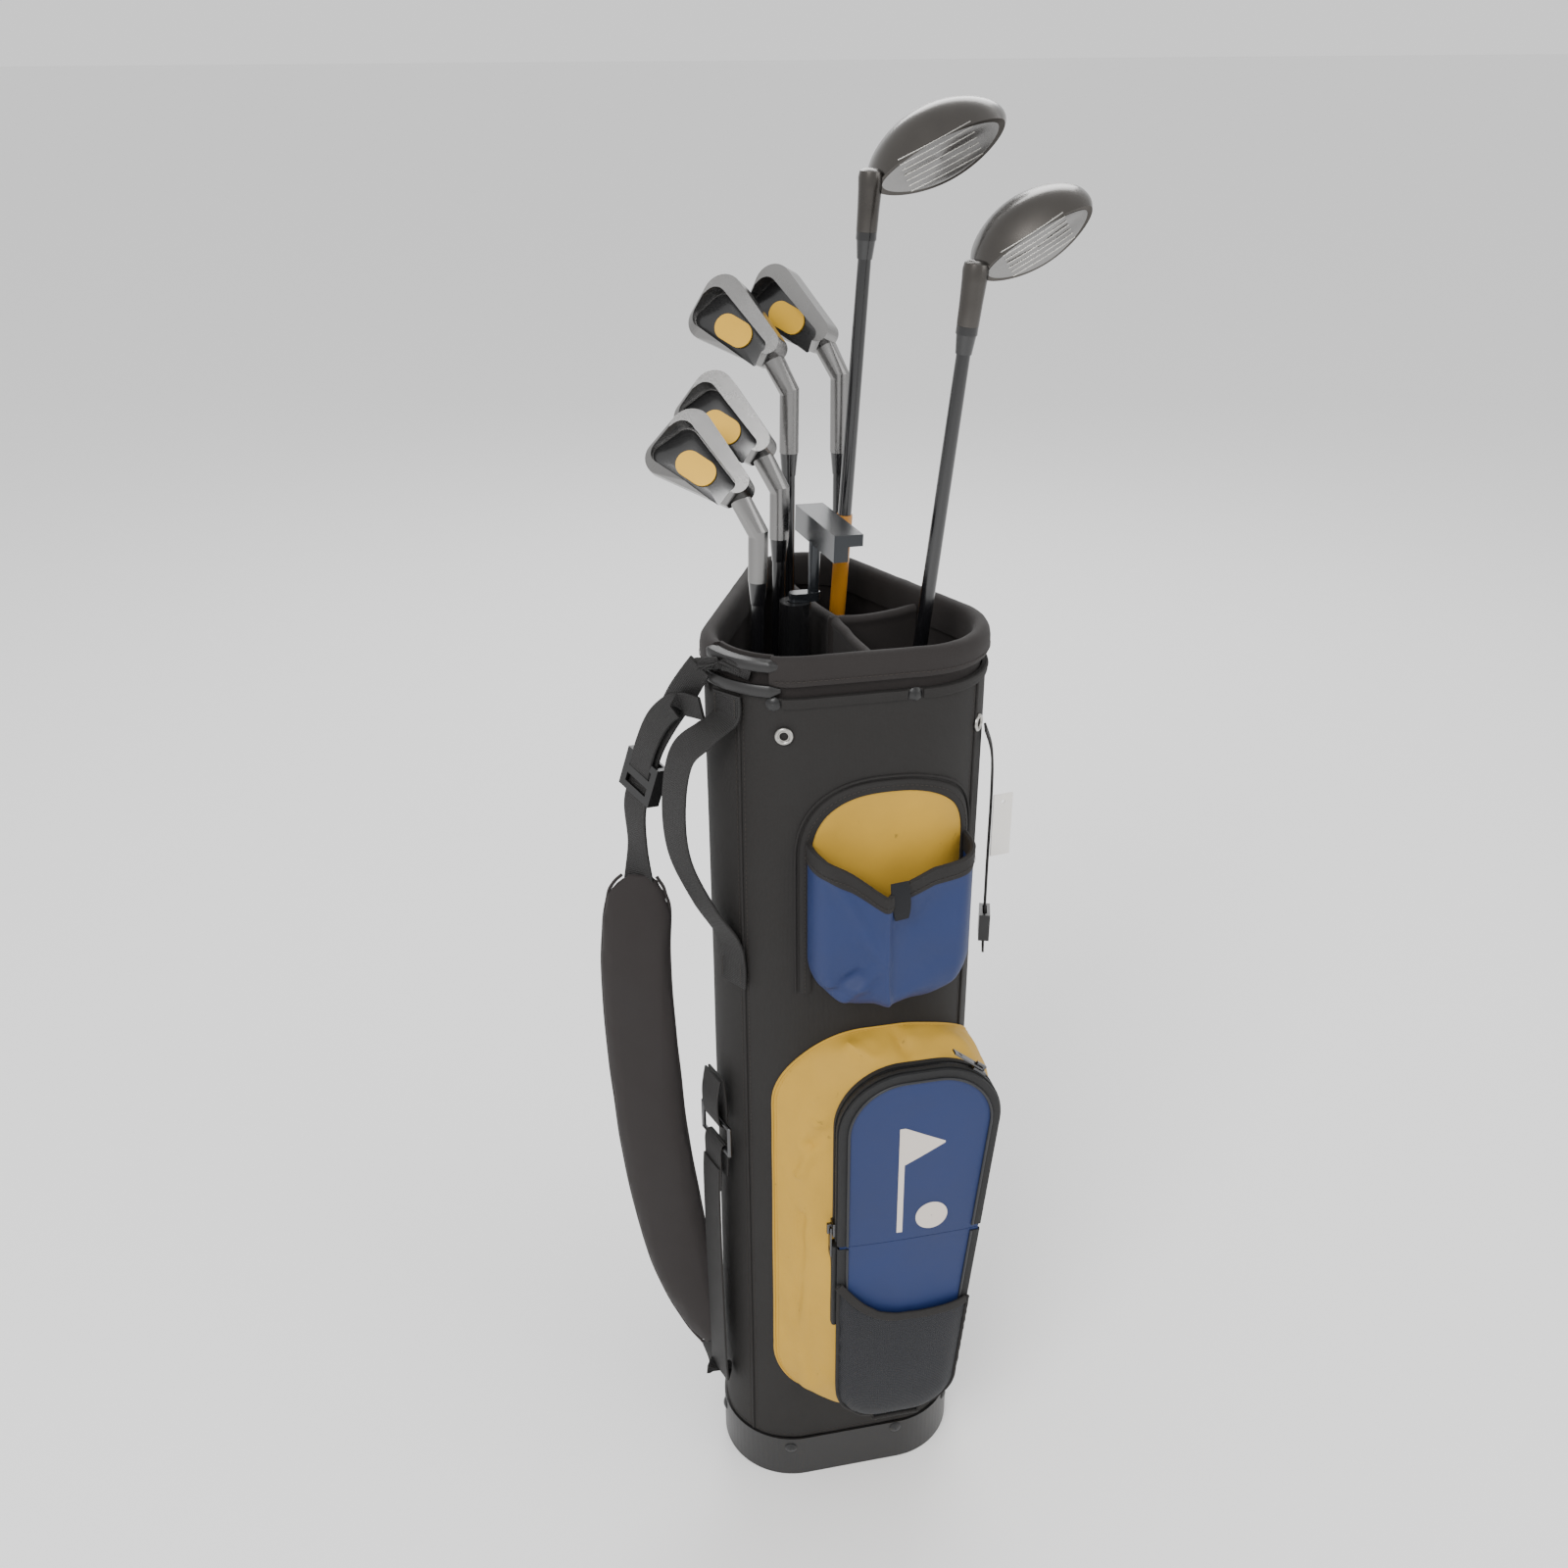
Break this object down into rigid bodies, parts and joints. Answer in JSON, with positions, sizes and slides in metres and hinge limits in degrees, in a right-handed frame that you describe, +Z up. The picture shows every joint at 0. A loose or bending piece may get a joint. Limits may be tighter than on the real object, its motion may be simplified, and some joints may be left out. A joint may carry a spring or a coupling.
{
  "type": "golf club set",
  "caption": "Upright carry bag with padded cuff, pockets and shoulder strap, holding woods, irons and a putter that lift out.",
  "frame": {"origin": "centre of the flat underside of the bag's base cup", "axes": "+Z up the bag to its mouth, -Y out of the pocket side, +X to the right seen from the front"},
  "size_m": [0.3239, 0.2897, 1.0709],
  "materials": {
    "dark_plastic": "moulded plastic with a fine grain",
    "black_fabric": "close black nylon weave, slightly dusty",
    "cuff_fabric": "padded black polyester",
    "black_plastic": "black moulded plastic",
    "nickel": "nickel-plated steel",
    "blue_fabric": "royal blue coated nylon",
    "yellow_fabric": "yellow coated nylon",
    "mesh": "fine black mesh over dark blue",
    "zipper_tape": "woven zipper tape with coil",
    "webbing": "ribbed polypropylene webbing",
    "pad_fabric": "padded black polyester",
    "white_print": "printed film",
    "gunmetal": "dark plated zinc",
    "tag_card": "plain card",
    "grip_rubber": "matt rubber",
    "shaft_graphite": "dark lacquered shaft",
    "dark_steel": "dark plated steel",
    "satin_steel": "satin cast steel with polished rims",
    "gold_badge": "gold lacquered medallion",
    "ferrule_black": "gloss black ring",
    "putter_grey": "glossy dark grey lacquer"
  },
  "bodies": {
    "bag": {"base_cup": "dark_plastic", "body_front": "black_fabric", "body_right": "black_fabric", "body_back": "black_fabric", "body_left": "black_fabric", "rivets": "black_plastic", "top_collar": "dark_plastic", "top_cuff": "cuff_fabric", "divider": "cuff_fabric", "eyelets": "nickel", "upper_pocket_front": "blue_fabric", "upper_pocket_back": "yellow_fabric", "lower_pocket_gusset": "yellow_fabric", "lower_pocket_panel": "blue_fabric", "mesh_pocket": "mesh", "pocket_zipper": "zipper_tape", "carry_handle": "webbing", "strap_loops": "webbing", "side_strap": "webbing", "slider_right": "gunmetal"},
    "pocket_flap": {"flap_panel": "blue_fabric", "flap_emblem": "white_print"},
    "zip_slider": {"slider_left": "gunmetal"},
    "zip_pull_left": {"pull_left": "gunmetal"},
    "zip_pull_right": {"pull_right": "gunmetal"},
    "shoulder_strap": {"strap_upper_webbing": "webbing", "shoulder_pad": "pad_fabric", "strap_lower_webbing": "webbing"},
    "strap_adjuster": {"tri_glide": "black_plastic"},
    "ring": {"strap_ring": "gunmetal"},
    "tag": {"hang_tag": "tag_card"},
    "strap_lock": {"cord_lock": "black_plastic"},
    "driver": {"driver_head": "satin_steel", "driver_ferrule": "ferrule_black", "driver_shaft": "shaft_graphite", "driver_grip": "grip_rubber"},
    "fairway": {"fairway_head": "satin_steel", "fairway_ferrule": "ferrule_black", "fairway_shaft": "shaft_graphite", "fairway_grip": "grip_rubber"},
    "iron5": {"iron5_head": "satin_steel", "iron5_badge": "gold_badge", "iron5_shaft": "shaft_graphite", "iron5_grip": "grip_rubber"},
    "iron7": {"iron7_head": "satin_steel", "iron7_badge": "gold_badge", "iron7_shaft": "shaft_graphite", "iron7_grip": "grip_rubber"},
    "iron9": {"iron9_head": "satin_steel", "iron9_badge": "gold_badge", "iron9_shaft": "shaft_graphite", "iron9_grip": "grip_rubber"},
    "wedge": {"wedge_head": "satin_steel", "wedge_badge": "gold_badge", "wedge_shaft": "shaft_graphite", "wedge_grip": "grip_rubber"},
    "putter": {"putter_head": "putter_grey", "putter_sleeve": "ferrule_black", "putter_shaft": "dark_steel", "putter_grip": "grip_rubber"}
  },
  "joints": [
    {"name": "driver_lift", "type": "slide", "parent": "bag", "child": "driver", "axis": [0.0557, -0.0377, 0.9977], "range_m": [0, 0.76]},
    {"name": "fairway_lift", "type": "slide", "parent": "bag", "child": "fairway", "axis": [0.0922, -0.0483, 0.9946], "range_m": [0, 0.76]},
    {"name": "iron5_lift", "type": "slide", "parent": "bag", "child": "iron5", "axis": [-0.0058, -0.0125, 0.9999], "range_m": [0, 0.76]},
    {"name": "iron7_lift", "type": "slide", "parent": "bag", "child": "iron7", "axis": [0.0127, -0.0024, 0.9999], "range_m": [0, 0.76]},
    {"name": "iron9_lift", "type": "slide", "parent": "bag", "child": "iron9", "axis": [0.0162, 0.0027, 0.9999], "range_m": [0, 0.76]},
    {"name": "wedge_lift", "type": "slide", "parent": "bag", "child": "wedge", "axis": [0.0202, 0.0027, 0.9998], "range_m": [0, 0.76]},
    {"name": "putter_lift", "type": "slide", "parent": "bag", "child": "putter", "axis": [0.0297, 0.004, 0.9996], "range_m": [0, 0.76]},
    {"name": "flap_fold", "type": "hinge", "parent": "bag", "child": "pocket_flap", "pos_m": [0.035, -0.16, 0.292], "axis": [1, 0, 0], "range_deg": [0, 80]},
    {"name": "zip_run", "type": "slide", "parent": "bag", "child": "zip_slider", "axis": [0, 0, 1], "range_m": [0, 0.075]},
    {"name": "left_pull_swing", "type": "hinge", "parent": "zip_slider", "child": "zip_pull_left", "pos_m": [-0.03005, -0.153, 0.30705], "axis": [0, 1, 0], "range_deg": [0, 60]},
    {"name": "right_pull_swing", "type": "hinge", "parent": "bag", "child": "zip_pull_right", "pos_m": [0.0812, -0.153, 0.43657], "axis": [0, 1, 0], "range_deg": [0, 60]},
    {"name": "strap_swing", "type": "hinge", "parent": "bag", "child": "shoulder_strap", "pos_m": [-0.104, -0.082, 0.738], "axis": [0.0112, 0.0012, 0.9999], "range_deg": [-12, 12]},
    {"name": "adjuster_run", "type": "slide", "parent": "shoulder_strap", "child": "strap_adjuster", "axis": [0.2791, -0.0797, 0.9569], "range_m": [0, 0.012]},
    {"name": "ring_swing", "type": "hinge", "parent": "bag", "child": "ring", "pos_m": [-0.103, -0.081, 0.3683], "axis": [-0.3192, 0.9477, 0], "range_deg": [-8, 8]},
    {"name": "tag_swing", "type": "hinge", "parent": "bag", "child": "tag", "pos_m": [0.1085, -0.091, 0.619], "axis": [-0.1392, 0.9903, 0], "range_deg": [-15, 15]},
    {"name": "lock_run", "type": "slide", "parent": "bag", "child": "strap_lock", "axis": [0, 0, 1], "range_m": [0, 0.04]}
  ]
}
